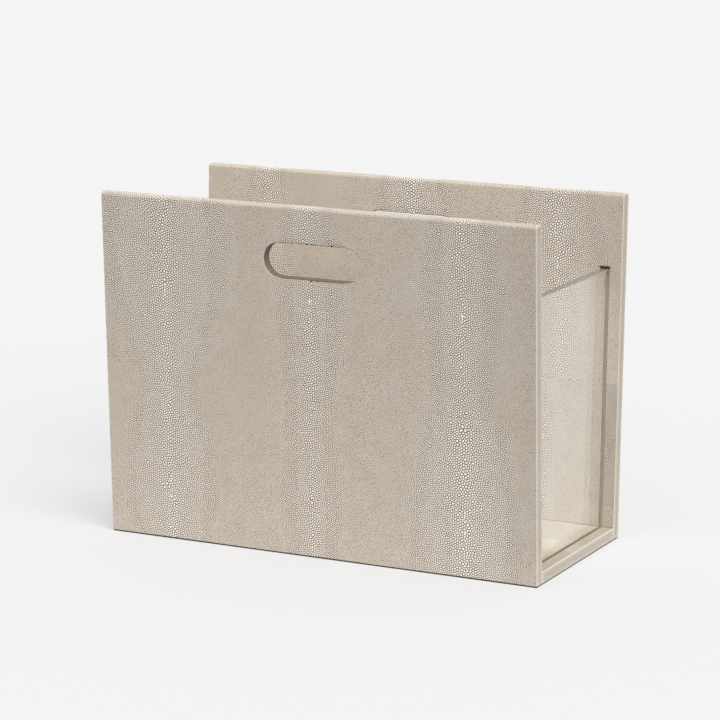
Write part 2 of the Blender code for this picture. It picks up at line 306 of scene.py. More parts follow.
def guessed_skin(low, high, start, end, smallest, generator):
    """A skin for a place that no view shows, drawn between the ones that show."""
    run = end - start
    middle = start + run * generator.uniform(0.35, 0.60)
    pearl = middle + run * generator.uniform(-0.08, 0.08)
    return Skin(
        (low + high) / 2 + generator.uniform(-0.006, 0.006),
        generator.uniform(0.0020, 0.0022),
        generator.uniform(0.032, 0.042),
        generator.uniform(0.052, 0.068),
        middle,
        run * generator.uniform(0.25, 0.35),
        generator.uniform(1.3, 1.7),
        ((pearl, 0.0040), (pearl - 0.0048, 0.0030)),
        smallest,
    )


def on_board(points, side, face):
    """Puts points given as along the board, up its slope and out from its face on a side board."""
    along, up, out = points.T
    past = up - ROLL_START
    angle = np.clip(past / EDGE_ROUND, 0, math.pi / 2)
    across = EDGE_ROUND - (EDGE_ROUND + out) * np.cos(angle) + np.maximum(up - ROLL_END, 0)
    rise = ROLL_START + np.minimum(past, 0) + (EDGE_ROUND + out) * np.sin(angle)
    if face == "inner":
        across = BOARD_THICK - across
    turn = 1 if side == "front" else -1
    depth = across * math.cos(LEAN) - rise * math.sin(LEAN) - BASE_DEPTH / 2
    height = across * math.sin(LEAN) + rise * math.cos(LEAN)
    return np.stack([turn * along, turn * depth, height], axis=1)


def from_slot(points):
    """How far points lie outside the hand slot's round-ended outline."""
    past_end = np.maximum(np.abs(points[:, 0]) - SLOT_STRAIGHT, 0)
    return np.hypot(past_end, points[:, 1] - SLOT_CENTRE) - SLOT_HEIGHT / 2


def slot_ring(grown):
    """Points round the hand slot, that far outside its outline."""
    radius = SLOT_HEIGHT / 2 + grown
    ring = []
    for centre, start in ((SLOT_STRAIGHT, -90), (-SLOT_STRAIGHT, 90)):
        for step in range(SLOT_STEPS + 1):
            angle = math.radians(start + 180 * step / SLOT_STEPS)
            ring.append((centre + radius * math.cos(angle), SLOT_CENTRE + radius * math.sin(angle)))
    return np.array(ring)


def patches(points):
    """How much wider or narrower than its outline the coarse zone is at each point."""
    waves = 0
    for length, turn in ((0.061, 0.4), (0.037, 1.9), (0.023, 3.1)):
        along = points @ (math.cos(turn), math.sin(turn)) / length
        across = points @ (-math.sin(turn), math.cos(turn)) / length
        waves = waves + np.sin(2 * math.pi * along + 5 * turn) * np.sin(2 * math.pi * across + 3 * turn)
    return 1 + PATCHINESS * waves


def pebble_size(skin, points):
    """Distance between neighbouring pebbles at each point of a skin."""
    off = np.abs(points[:, 0] - skin.spine)
    bulge = np.exp(-(((points[:, 1] - skin.middle) / skin.spread) ** 2))
    reach = (skin.narrow + (skin.wide - skin.narrow) * bulge) * patches(points)
    coarse = np.exp(-((off / reach) ** skin.fall))
    return FINE + (skin.size - FINE) * coarse + SPINE_EXTRA * np.exp(-off / SPINE_REACH)


PUSHES = 18
PUSHES_A_NET = 3          # before the neighbours are found anew
SPRING = 0.22             # share of a gap that is made good at each push


def scatter_pebbles(skin, low, high, generator):
    """Centres of a skin's pebbles, pearls first: an even scatter, thinned where they are large, then
    pushed apart by springs until each has its own room."""
    even = 1.2207440846057594  # root of x**4 = x + 1, which spreads a sequence evenly in three dimensions
    finest = skin.smallest - SCATTER_MORE
    count = int((high - low).prod() / (HEX_SHARE * finest**2))
    turns = (generator.random(3) + np.arange(count)[:, None] * even ** -np.arange(1.0, 4.0)) % 1.0
    places = low + turns[:, :2] * (high - low)
    size = pebble_size(skin, places)
    places = places[(size > finest) & (turns[:, 2] < (finest / size) ** 2)]
    pearls = np.array([(skin.spine, height) for height, _ in skin.pearls]).reshape(-1, 2)
    pearl_sizes = np.array([length for _, length in skin.pearls])
    for pearl, length in zip(pearls, pearl_sizes):
        places = places[np.linalg.norm(places - pearl, axis=1) > length * PEARL_CLEARS]
    places = np.concatenate([pearls, places])
    for turn in range(PUSHES):
        if turn % PUSHES_A_NET == 0:
            edges = np.array(delaunay_2d_cdt(places.tolist(), [], [], 0, 1e-9, False)[1])
        size = pebble_size(skin, places)
        size[: len(pearls)] = pearl_sizes
        first, second = edges.T
        gap = places[second] - places[first]
        length = np.linalg.norm(gap, axis=1)
        wanted = (size[first] + size[second]) / 2
        push = SPRING * (1 - wanted / length)
        push[(length > 1.5 * wanted) & (np.minimum(first, second) >= len(pearls))] = 0
        for end, way in ((first, 1), (second, -1)):
            for axis in (0, 1):
                places[:, axis] += way * np.bincount(end, gap[:, axis] * push, len(places))
        places[: len(pearls)] = pearls
    return places, size


def new_mesh(name, points, faces):
    mesh = bpy.data.meshes.new(name)
    mesh.from_pydata(np.asarray(points).tolist(), [], faces)
    return mesh


def new_piece(name, mesh):
    piece = bpy.data.objects.new(name, mesh)
    bpy.context.collection.objects.link(piece)
    return piece


def keep_on_points(mesh, name, values):
    """Stores one number or one vector for each point of a mesh."""
    values = np.asarray(values, np.float32)
    kind, field = ("FLOAT", "value") if values.ndim == 1 else ("FLOAT_VECTOR", "vector")
    mesh.attributes.new(name, kind, "POINT").data.foreach_set(field, values.ravel())


def lines_between(low, high, step, rim=RIM):
    """Mesh lines from one trimmed edge to the other: three to round each edge, one where the flat skin
    starts, and even ones between."""
    edge = [step_in * rim for step_in in RIM_STEPS]
    start, end = low + rim + FLAT_FROM, high - rim - FLAT_FROM
    inner = np.linspace(start, end, max(1, round((end - start) / step)) + 1)
    return [*(low + off for off in edge), *inner, *(high - off for off in edge[::-1])]


def cut_sheet(name, skin, low, high, notch=None, slot=False, corner=0.0, rim=RIM):
    """The trimmed skin as a thin closed sheet, laid flat: x along the board, y up its slope, z out.
    notch is (from, to, top) of the groove that is cut up into it from its lower edge, and corner is the
    radius of its two upper corners."""
    across = lines_between(low[0], high[0], SHEET_STEP, rim)
    up = lines_between(low[1], high[1], SHEET_STEP, rim)
    if high[1] > ROLL_START and not corner:
        up = lines_between(low[1], ROLL_START, SHEET_STEP)[:-3]
        up += list(np.linspace(ROLL_START, ROLL_END, ROLL_STEPS + 1))
        up += lines_between(ROLL_END, high[1], SHEET_STEP)[3:]
    if notch:
        edge = [*(step_in * RIM for step_in in RIM_STEPS), RIM + FLAT_FROM]
        across += [notch[0] - off for off in edge] + [notch[1] + off for off in edge]
        up += [notch[2] + off for off in edge]
    points = np.array([(x, y) for x in sorted(set(across)) for y in sorted(set(up))])

    def off_edge(at):
        """Distance to the nearest trimmed edge."""
        off = np.minimum(at - low, high - at).min(axis=1)
        if corner:
            sideways = corner - np.minimum(at[:, 0] - low[0], high[0] - at[:, 0])
            upwards = corner - (high[1] - at[:, 1])
            in_corner = (sideways > 0) & (upwards > 0)
            off = np.where(in_corner, corner - np.hypot(sideways, upwards), off)
        if notch:
            beside = np.maximum(notch[0] - at[:, 0], at[:, 0] - notch[1])
            above = at[:, 1] - notch[2]
            away = np.where((beside > 0) & (above > 0), np.hypot(beside, above), np.maximum(beside, above))
            off = np.minimum(off, away)
        return off

    if slot:
        points = points[from_slot(points) > 2 * SLOT_ROLL]
        rings = [slot_ring(SLOT_ROLL * (1 - math.sin(math.radians(angle)))) for angle in ROLL_ANGLES]
        points = np.concatenate([points, *rings, slot_ring(SLOT_ROLL + FLAT_FROM)])
    if corner:
        square = (high[1] - points[:, 1] < corner) & (high[0] - low[0] > 2 * corner)
        square &= np.minimum(points[:, 0] - low[0], high[0] - points[:, 0]) < corner
        points = points[~square | (off_edge(points) > 1.5 * rim)]
        angles = np.radians(np.linspace(0, 90, CORNER_STEPS + 1))
        for radius in [corner - step_in * rim for step_in in RIM_STEPS]:
            for middle, turn in ((high[0] - corner, 1), (low[0] + corner, -1)):
                arc = [middle + turn * radius * np.cos(angles), high[1] - corner + radius * np.sin(angles)]
                points = np.concatenate([points, np.stack(arc, axis=1)])
    flat = delaunay_2d_cdt(points.tolist(), [], [], 0, 1e-9, False)
    points = np.array([tuple(point) for point in flat[0]])
    faces = np.array(flat[2])
    middles = points[faces].mean(axis=1)
    inside = off_edge(middles) > 0
    if slot:
        inside &= from_slot(middles) > 0
    faces = faces[inside]
    used, faces = np.unique(faces, return_inverse=True)
    points, faces = points[used], faces.reshape(-1, 3)

    def rounded(off, radius):
        """How far a rounded edge has dropped at this distance from it."""
        share = np.clip(1 - off / radius, 0, 1)
        return radius * (1 - np.sqrt(1 - share**2))

    size = pebble_size(skin, points)
    stony = np.clip((size - skin.smallest - FRINGE) / RISE_OUT, 0, 1)
    top = BARE_DEPTH + (VALLEY - BARE_DEPTH) * stony + rounded(off_edge(points), rim)
    if slot:
        top += rounded(np.maximum(from_slot(points), 0), SLOT_ROLL)
    bottom = np.maximum(HIDE_THICK, top + THINNEST)
    count = len(points)
    sides = np.concatenate([faces[:, [0, 1]], faces[:, [1, 2]], faces[:, [2, 0]]])
    numbers = {tuple(edge) for edge in sides.tolist()}
    walls = [(b, a, a + count, b + count) for a, b in numbers if (b, a) not in numbers]
    layers = [np.column_stack([points, -depth]) for depth in (top, bottom)]
    faced = faces.tolist() + (faces[:, ::-1] + count).tolist() + walls
    mesh = new_mesh(name, np.concatenate(layers), faced)
    flesh = mesh.attributes.new("flesh", "BOOLEAN", "FACE")
    flesh.data.foreach_set("value", [False] * len(faces) + [True] * (len(faces) + len(walls)))
    twice = np.concatenate([points, points])
    keep_on_points(mesh, "lay", np.column_stack([twice, np.zeros(2 * count)]))
    grain = stony * size + (1 - stony) * np.minimum(size, COARSEST_GRAIN)
    keep_on_points(mesh, "bead", np.concatenate([grain, grain]))
    keep_on_points(mesh, "stony", np.concatenate([stony, stony]))
    # A pale band painted along the end strips' edges: rubbing, and a painted highlight on their rounding
    if rim > RIM:
        wear_and_painted_light = np.clip(2 - 2 * off_edge(points) / RUBBED_AND_LIT_WIDTH, 0, 1)
    else:
        # On the hides, the trimmed edges are painted paler, as painted light against the shade of the seams
        wear_and_painted_light = SEAM_PAINTED_LIGHT * stony * np.clip((rim + FLAT_FROM - off_edge(points)) / FLAT_FROM, 0, 1)
    keep_on_points(mesh, "wear_and_painted_light", np.concatenate([wear_and_painted_light, wear_and_painted_light]))
    return mesh, off_edge


def pebble_nodes():
    """Turns a flat sheet and a net of pebble centres into a pebbled skin. The cells of the net become
    the pebbles: each is drawn in from its neighbours, raised, and drawn in again to its sanded top."""
    tree = bpy.data.node_groups.new("pebbled skin", "GeometryNodeTree")
    face = tree.interface
    face.new_socket("Sheet", in_out="INPUT", socket_type="NodeSocketGeometry")
    sockets = {}
    for name, kind in (
        ("Pebble centres", "Object"),
        ("Cell share", "Float"),
        ("Flat top share", "Float"),
        ("Smallest flat pebble", "Float"),
        ("Valley depth", "Float"),
        ("Sunk", "Float"),
        ("Bare below", "Float"),
        ("Full depth from", "Float"),
        ("Low corner", "Vector"),
        ("High corner", "Vector"),
        ("Slot centre", "Vector"),
        ("Slot half straight", "Float"),
        ("Slot radius", "Float"),
        ("Seed", "Int"),
        ("Skin", "Material"),
    ):
        sockets[name] = face.new_socket(name, in_out="INPUT", socket_type="NodeSocket" + kind).identifier
    face.new_socket("Pebbled skin", in_out="OUTPUT", socket_type="NodeSocketGeometry")
    given = tree.nodes.new("NodeGroupInput").outputs

    def attribute(name, kind="FLOAT"):
        found = put(tree, "GeometryNodeInputNamedAttribute", {"Name": name}, data_type=kind)
        return found.outputs["Attribute"]

    def store(mesh, name, value, domain="POINT", kind="FLOAT"):
        inputs = {"Geometry": mesh, "Name": name, "Value": value}
        return change("StoreNamedAttribute", inputs, data_type=kind, domain=domain)

    def change(kind, inputs, **settings):
        return put(tree, "GeometryNode" + kind, inputs, **settings).outputs[0]

    def join(*parts):
        joined = put(tree, "GeometryNodeJoinGeometry")
        for part in parts:
            tree.links.new(part, joined.inputs[0])
        return joined.outputs[0]

    net = put(tree, "GeometryNodeObjectInfo", {"Object": given["Pebble centres"]}).outputs["Geometry"]
    cells = change("DualMesh", {"Mesh": net})
    dropped = maths(tree, "LESS_THAN", attribute("height"), 1e-6)
    cells = change("DeleteGeometry", {"Geometry": cells, "Selection": dropped}, domain="FACE")

    # Pebbles that cross a trimmed edge or the hand slot are cut off there
    place = put(tree, "GeometryNodeInputPosition").outputs[0]
    from_centre = vector_maths(tree, "SUBTRACT", place, given["Slot centre"])[0]
    along = put(tree, "ShaderNodeSeparateXYZ", {0: from_centre}).outputs["X"]
    half = given["Slot half straight"]
    along = maths(tree, "MAXIMUM", maths(tree, "MINIMUM", along, half), maths(tree, "MULTIPLY", half, -1.0))
    on_middle_line = put(tree, "ShaderNodeCombineXYZ", {"X": along}).outputs[0]
    nearest = vector_maths(tree, "ADD", given["Slot centre"], on_middle_line)[0]
    away = vector_maths(tree, "SUBTRACT", place, nearest)[0]
    wanted = maths(tree, "MAXIMUM", vector_maths(tree, "LENGTH", away)["Value"], given["Slot radius"])
    pushed = vector_maths(tree, "SCALE", vector_maths(tree, "NORMALIZE", away)[0])[0]
    tree.links.new(wanted, pushed.node.inputs["Scale"])
    trimmed = vector_maths(tree, "ADD", nearest, pushed)[0]
    trimmed = vector_maths(tree, "MAXIMUM", trimmed, given["Low corner"])[0]
    trimmed = vector_maths(tree, "MINIMUM", trimmed, given["High corner"])[0]
    cells = change("SetPosition", {"Geometry": cells, "Position": trimmed})
    chance = put(tree, "FunctionNodeRandomValue", {"Seed": given["Seed"]}, data_type="FLOAT").outputs[1]
    cells = store(cells, "tone", chance, "FACE")
    cells = change("SplitEdges", {"Mesh": cells})
    cells = change("ScaleElements", {"Geometry": cells, "Scale": given["Cell share"]}, domain="FACE")
    under = change("FlipFaces", {"Mesh": cells})
    under = store(under, "flesh", True, "FACE", "BOOLEAN")
    lift = put(tree, "ShaderNodeCombineXYZ", {"Z": attribute("height")}).outputs[0]
    inputs = {"Mesh": cells, "Offset": lift, "Offset Scale": 1.0, "Individual": True}
    raised = put(tree, "GeometryNodeExtrudeMesh", inputs)
    top = raised.outputs["Top"]
    flat = maths(tree, "GREATER_THAN", attribute("bead"), given["Smallest flat pebble"])
    flat = maths(tree, "MULTIPLY", flat, given["Flat top share"])
    inputs = {"Geometry": raised.outputs["Mesh"], "Selection": top, "Scale": flat}
    pebbles = change("ScaleElements", inputs, domain="FACE")
    # A point rises above the level of the flats, so that its sanded part is as wide as theirs
    peak = maths(tree, "DIVIDE", 1.0, maths(tree, "SUBTRACT", 1.0, given["Flat top share"]))
    pointed = maths(tree, "LESS_THAN", attribute("bead"), given["Smallest flat pebble"])
    peak = put(tree, "ShaderNodeMix", {0: pointed, 2: 1.0, 3: peak}).outputs[0]
    pebbles = store(pebbles, "rise", maths(tree, "MULTIPLY", peak, top))
    merged = change("MergeByDistance", {"Geometry": join(pebbles, under), "Distance": 1e-7})

    # The pearls and the beads of the spine are domes of their own
    dome = change("MeshIcoSphere", {"Radius": 1.0, "Subdivisions": 2})
    bead_size = attribute("dome", "FLOAT_VECTOR")
    long = put(tree, "ShaderNodeSeparateXYZ", {0: bead_size}).outputs["Y"]
    is_bead = maths(tree, "GREATER_THAN", long, 1e-6)
    inputs = {"Points": net, "Selection": is_bead, "Instance": dome, "Scale": bead_size}
    beads = change("InstanceOnPoints", inputs)
    beads = change("RealizeInstances", {"Geometry": beads})
    beads = store(beads, "rise", 1.0)
    beads = store(beads, "tone", 1.0, "FACE")
    level = maths(tree, "MULTIPLY", maths(tree, "ADD", given["Valley depth"], given["Sunk"]), -1.0)
    sunk = put(tree, "ShaderNodeCombineXYZ", {"Z": level}).outputs[0]
    stones = change("SetPosition", {"Geometry": join(merged, beads), "Offset": sunk})
    stony = remap(tree, attribute("bead"), given["Bare below"], given["Full depth from"], STONE_LEAST)
    stones = store(stones, "stony", stony)
    result = change("RealizeInstances", {"Geometry": join(stones, given["Sheet"])})
    result = change("SetShadeSmooth", {"Geometry": result})
    result = change("SetMaterial", {"Geometry": result, "Material": given["Skin"]})
    put(tree, "NodeGroupOutput", {0: result})
    return tree, sockets


def shagreen(name, lightness, warmth):
    """Dyed, sanded shagreen. Its pebbles are in the attributes rise, bead, tone and stony,
    wear_and_painted_light says where an edge is painted paler, as wear and as painted light, and lay is where
    a point was on the flat skin."""
    material, tree, shader = new_material(name, Specular_IOR_Level=0.45)
    where = put(tree, "ShaderNodeTexCoord").outputs["Object"]

    def read(attribute, output="Fac"):
        return put(tree, "ShaderNodeAttribute", attribute_name=attribute).outputs[output]

    turned = {"Vector": read("lay", "Vector"), "Rotation": (0.0, 0.0, GRAIN_SLANT)}
    slanting = put(tree, "ShaderNodeMapping", turned).outputs[0]
    fine_rise, fine_tone = 0.0, 0.0
    for size in GRAIN_SIZES[::-1]:
        inputs = {"Vector": slanting, "Scale": 1 / size, "Randomness": GRAIN_UNEVENNESS}
        cells = put(tree, "ShaderNodeTexVoronoi", inputs, voronoi_dimensions="2D", feature="DISTANCE_TO_EDGE")
        dots = put(tree, "ShaderNodeTexVoronoi", inputs, voronoi_dimensions="2D")
        inner = remap(tree, cells.outputs["Distance"], 0.03, 0.22)
        inner = maths(tree, "MINIMUM", inner, remap(tree, dots.outputs["Distance"], 0.60, 0.30))
        colour = put(tree, "ShaderNodeSeparateColor", {0: dots.outputs["Color"]}).outputs[0]
        coarser = maths(tree, "GREATER_THAN", read("bead"), size - GRAIN_STEP)
        fine_rise = put(tree, "ShaderNodeMix", {0: coarser, 2: fine_rise, 3: inner}).outputs[0]
        fine_tone = put(tree, "ShaderNodeMix", {0: coarser, 2: fine_tone, 3: colour}).outputs[0]
    deep = maths(tree, "POWER", read("stony"), 2.0)
    bare = remap(tree, deep, 0.0, 1.0, 1.0, 0.0)
    rise = maths(tree, "MAXIMUM", maths(tree, "MULTIPLY", fine_rise, bare), read("rise"))
    mottle = noise(tree, where, MOTTLE_SIZE, 4.0, 0.6)
    speckle = noise(tree, where, SPECKLE_SIZE, 3.0)

    deeper = [value * (0.93 - 0.05 * channel) for channel, value in enumerate(GREIGE)]
    body = mix_colours(tree, remap(tree, mottle, 0.3, 0.7), GREIGE, deeper)
    tone = put(tree, "ShaderNodeMix", {0: deep, 2: fine_tone, 3: read("tone")}).outputs[0]
    tone = remap(tree, tone, 0.0, 1.0, DULLEST_TOP, 1.0)
    looks = []
    for height, coarsest in ((fine_rise, COARSEST_GRAIN), (read("rise"), PEARL_SIZES[1])):
        size = maths(tree, "MINIMUM", read("bead"), coarsest)
        bead = remap(tree, size, FINE, LARGEST)
        sanded = maths(tree, "MULTIPLY", remap(tree, bead, 0.0, 0.8, *SANDED), tone)
        top = mix_colours(tree, sanded, body, IVORY)
        top = mix_colours(tree, remap(tree, size, *PEARL_SIZES), top, PEARL)
        valley = mix_colours(tree, remap(tree, bead, 0.0, 0.6, *VALLEY_DYED), body, TAUPE)
        skirt = mix_colours(tree, remap(tree, bead, 0.0, 0.7, *SIDE_DYED), body, TAUPE)
        side = mix_colours(tree, remap(tree, height, 0.0, 0.5), valley, skirt)
        looks.append(mix_colours(tree, remap(tree, height, 0.6, 0.95), side, top))
    colour = mix_colours(tree, deep, *looks)
    # Edges painted towards ivory: wear and a painted highlight on the strips, painted light in the hides'
    # seams
    colour = mix_colours(tree, maths(tree, "MULTIPLY", read("wear_and_painted_light"), WEAR_AND_LIGHT_SHARE), colour, IVORY)
    along = put(tree, "ShaderNodeSeparateXYZ", {0: where}).outputs["X"]
    # The colour is made a little darker towards the right end
    towards_right_end = remap(tree, along, *RIGHT_END_DARKER_FROM, 1.0, RIGHT_END_LEVEL)
    speckled = remap(tree, speckle, 0.3, 0.7, (1 - SPECKLE) * lightness, (1 + SPECKLE) * lightness)
    shade = maths(tree, "MULTIPLY", speckled, towards_right_end)
    red, blue = maths(tree, "MULTIPLY", shade, warmth), maths(tree, "DIVIDE", shade, warmth)
    level = put(tree, "ShaderNodeCombineColor", {0: red, 1: shade, 2: blue}).outputs[0]
    colour = mix_colours(tree, 1.0, colour, level, "MULTIPLY")
    tree.links.new(colour, shader.inputs["Base Color"])
    tree.links.new(remap(tree, rise, 0.0, 1.0, 0.72, 0.45), shader.inputs["Roughness"])
    skin = maths(tree, "MULTIPLY", fine_rise, bare)
    skin = maths(tree, "ADD", skin, maths(tree, "MULTIPLY", speckle, 0.25))
    tree.links.new(bump(tree, skin, GRAIN_DEPTH), shader.inputs["Normal"])
    return material


def lay_hide(name, node, low, high, skin, seed, place, flip, notch=None, slot=False, tint=(1.0, 1.0),
             corner=0.0, rim=RIM):
    """Makes one pebbled hide from its trimmed size and puts it where its CAD solid is. place gives the
    world's places of points of the flat skin, and flip says that it turns the skin's grain side down."""
    generator = np.random.default_rng(seed)
    sheet, off_edge = cut_sheet(name, skin, low, high, notch, slot, corner, rim)
    margin = 3 * skin.size
    centres, size = scatter_pebbles(skin, low - margin, high + margin, generator)
    straight = np.minimum(centres - low, high - centres).min(axis=1)
    room = straight - rim + CUT_BEYOND * size
    if notch or corner:
        bent = off_edge(centres) < np.maximum(straight, 0)
        room = np.where(bent, np.minimum(room, off_edge(centres) - RIM - BENT_INSIDE * size), room)
    if slot:
        room = np.minimum(room, from_slot(centres) - 0.5 * SLOT_ROLL + SLOT_BEYOND * size)
    grown = (room > 0) & (size > skin.smallest + FRINGE * generator.random(len(size)))
    height = np.where(grown, np.minimum(STEEPNESS * size, VALLEY) + SUNK, 0)
    dome = np.zeros((len(centres), 3))
    pearls = len(skin.pearls)
    pearl_height = np.full(pearls, VALLEY + SUNK)
    dome[:pearls] = np.column_stack([np.outer(size[:pearls], PEARL_SHAPE), pearl_height])
    dome[:pearls] *= (room[:pearls] > 0)[:, None]
    height[:pearls] = 0
    net = delaunay_2d_cdt(centres.tolist(), [], [], 0, 1e-9, False)
    mesh = new_mesh(name + "_centres", [(x, y, 0.0) for x, y in net[0]], net[2])
    for attribute, values in (("height", height), ("bead", size), ("dome", dome)):
        keep_on_points(mesh, attribute, values)
    guide = new_piece(name + "_centres", mesh)

    piece = new_piece(name, sheet)
    step = piece.modifiers.new("pebbles", "NODES")
    step.node_group = PEBBLES
    for label, value in (
        ("Pebble centres", guide),
        ("Cell share", CELL_SHARE),
        ("Flat top share", FLAT_SHARE),
        ("Smallest flat pebble", SMALLEST_FLAT),
        ("Valley depth", VALLEY),
        ("Sunk", SUNK),
        ("Bare below", skin.smallest + FRINGE),
        ("Full depth from", skin.smallest + FRINGE + RISE_OUT),
        ("Low corner", (*(low + rim), 0.0)),
        ("High corner", (*(high - rim), 0.0)),
        ("Slot centre", (0.0, SLOT_CENTRE, 0.0)),
        ("Slot half straight", SLOT_STRAIGHT if slot else 0.0),
        ("Slot radius", SLOT_HEIGHT / 2 + 0.5 * SLOT_ROLL if slot else 0.0),
        ("Seed", seed),
        ("Skin", shagreen(name, *tint)),
    ):
        step[PEBBLE_SOCKETS[label]] = value
    made = bpy.data.meshes.new_from_object(piece.evaluated_get(bpy.context.evaluated_depsgraph_get()))
    piece.modifiers.clear()
    piece.data = made
    made.name = name
    bpy.data.objects.remove(guide)
    bpy.data.meshes.remove(sheet)

    flat = np.empty(len(made.vertices) * 3, np.float32)
    made.vertices.foreach_get("co", flat)
    flat = flat.reshape(-1, 3)
    made.vertices.foreach_set("co", place(flat).astype(np.float32).ravel())
    if flip:
        made.flip_normals()
    lay_bake_map(made, flat, low, high)
    made.update()
    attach(piece, "root")
    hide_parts(node)


FLESH_FROM = 0.96         # the strip of a hide's map that holds its flesh side starts there
MAP_MARGIN = 0.004


def lay_bake_map(mesh, flat, low, high):
    """A map of the hide as it was cut: its grain side as seen from outside, its flesh side in a strip."""
    corners = np.empty(len(mesh.loops), np.int32)
    mesh.loops.foreach_get("vertex_index", corners)
    flesh = np.empty(len(mesh.polygons), bool)
    mesh.attributes["flesh"].data.foreach_get("value", flesh)
    totals = np.empty(len(mesh.polygons), np.int32)
    mesh.polygons.foreach_get("loop_total", totals)
    hidden = np.repeat(flesh, totals)
    share = (flat[corners, :2] - low) / (high - low)
    deep = np.clip(-flat[corners, 2] / HIDE_THICK, 0, 1)
    share = MAP_MARGIN + (1 - 2 * MAP_MARGIN) * share
    in_strip = FLESH_FROM + 0.005 + share[:, 0] * (1 - FLESH_FROM - 0.01)
    share[:, 0] = np.where(hidden, in_strip, share[:, 0] * FLESH_FROM)
    # The walls get a little width there too, so that no face is of zero width on the map
    share += hidden[:, None] * (deep[:, None] - 0.5) * (0.002, 0.006)
    share = np.clip(share, 0, 1).astype(np.float32)
    mesh.uv_layers.new(name="OFBake").uv.foreach_set("vector", share.ravel())


PEBBLES, PEBBLE_SOCKETS = pebble_nodes()


def along_of(node, side):
    """Where a node starts and ends along its board, in the board's own direction."""
    low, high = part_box(node)
    return (low.x, high.x) if side == "front" else (-high.x, -low.x)


def up_from(node, face):
    """Where a node's lower edge is, up the slope of its board."""
    across = BOARD_THICK if face == "inner" else 0.0
    return (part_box(node)[0].z - across * math.sin(LEAN)) / math.cos(LEAN)


seed = 0
for side in ("front", "back"):
    turn = 1 if side == "front" else -1
    columns = ("left", "middle", "right")[::turn]
    for face in ("outer", "inner"):
        for row in ("upper", "lower"):
            for column in ("left", "middle", "right"):
                seed += 1
                node = f"{side}_{face}_hide_{row}_{column}"
                generator = np.random.default_rng(100 + seed)
                start, end = along_of(node, side)
                start -= SOLID_GAP / 2 - SEAM / 2 if column != columns[0] else SOLID_GAP - SEAM
                end += SOLID_GAP / 2 - SEAM / 2 if column != columns[-1] else SOLID_GAP - SEAM
                if row == "upper":
                    lower, upper = ROW_SEAM + SEAM / 2, TOP_SEAM - SEAM / 2
                else:
                    lower, upper = up_from(node, face), ROW_SEAM - SEAM / 2
                low, high = np.array([start, lower]), np.array([end, upper])
                seen = SKINS.get(node)
                if seen:
                    skin = seen._replace(spine=seen.spine * turn)
                else:
                    smallest = SMALLEST_BEHIND if face == "outer" else SMALLEST_INSIDE
                    skin = guessed_skin(low[0], high[0], low[1], min(high[1], BOARD_RUN), smallest, generator)
                notch = None
                if face == "inner" and row == "upper" and column != "middle":
                    ends = along_of(f"{side}_inner_hide_lower_{column}", side) + along_of(
                        f"{side}_inner_groove_strip_{column}", side
                    )
                    notch = (*sorted(ends)[1:3], GROOVE_TOP)
                lay_hide(
                    node.replace("_hide_", "_shagreen_"),
                    node,
                    low,
                    high,
                    skin,
                    seed,
                    lambda flat: on_board(flat, side, face),
                    face == "inner",
                    notch,
                    row == "upper" and column == "middle",
                    (generator.uniform(0.99, 1.01), generator.uniform(0.990, 1.003)),
                )


# Groove strips and floor hides
# Offcuts of the same skins cover the boards outside the end panels' grooves. The floor has one hide
# between the grooves, laid with its spine along the holder, and a narrow strip at each end.
FLOOR_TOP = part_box("floor_hide")[1].z
# lightness and warmth of the groove strips: painted shade, darker than the hides, in the corners at the
# panels
GROOVE_STRIP_SHADE = (0.84, 1.0)
GROOVE_STRIP_SPINE = 0.165

for side in ("front", "back"):
    for column in ("left", "right"):
        seed += 1
        node = f"{side}_inner_groove_strip_{column}"
        start, end = along_of(node, side)
        lower = up_from(node, "inner")
        rise = (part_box(node)[1].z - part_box(node)[0].z) / math.cos(LEAN)
        low, high = np.array([start, lower]), np.array([end, lower + rise])
        generator = np.random.default_rng(100 + seed)
        spine = math.copysign(GROOVE_STRIP_SPINE, start)
        skin = guessed_skin(spine, spine, low[1], high[1], SMALLEST_PEBBLE, generator)
        lay_hide(
            f"{side}_inner_shagreen_strip_{column}",
            node,
            low,
            high,
            skin,
            seed,
            lambda flat: on_board(flat, side, "inner"),
            True,
            tint=GROOVE_STRIP_SHADE,
        )

for node in ("floor_hide", "floor_groove_strip_left", "floor_groove_strip_right"):
    seed += 1
    box_low, box_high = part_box(node)
    low = np.array([box_low.y, box_low.x])
    high = np.array([box_high.y, box_high.x])
    generator = np.random.default_rng(100 + seed)
    lay_hide(
        node.replace("floor_", "floor_shagreen_"),
        node,
        low,
        high,
        guessed_skin(low[0], high[0], -0.16, 0.16, SMALLEST_INSIDE, generator),
        seed,
        lambda flat: np.column_stack([flat[:, 1], flat[:, 0], FLOOR_TOP + flat[:, 2]]),
        True,
        tint=(1.0, 1.0) if node == "floor_hide" else GROOVE_STRIP_SHADE,
    )


# Hand slot linings
# A strip of fine skin, glued round the inside of each slot, up to where the hides turn in. It is painted much
# darker than the hides, as the shade inside the slot.
LINING_GRAIN = 0.0013
# lightness and warmth of the lining: painted shade inside the hand slot
LINING_SHADE = (0.25, 1.20)
LINING_ROWS = 6
SHARP_FROM = 40           # degrees between two faces of the lining
lining_low, lining_high = SKIN_DEPTH, BOARD_THICK - SKIN_DEPTH


def fix_normals(mesh):
    """Turns every face of a closed mesh outwards."""
    bm = bmesh.new()
    bm.from_mesh(mesh)
    bmesh.ops.recalc_face_normals(bm, faces=bm.faces)
    bm.to_mesh(mesh)
    bm.free()


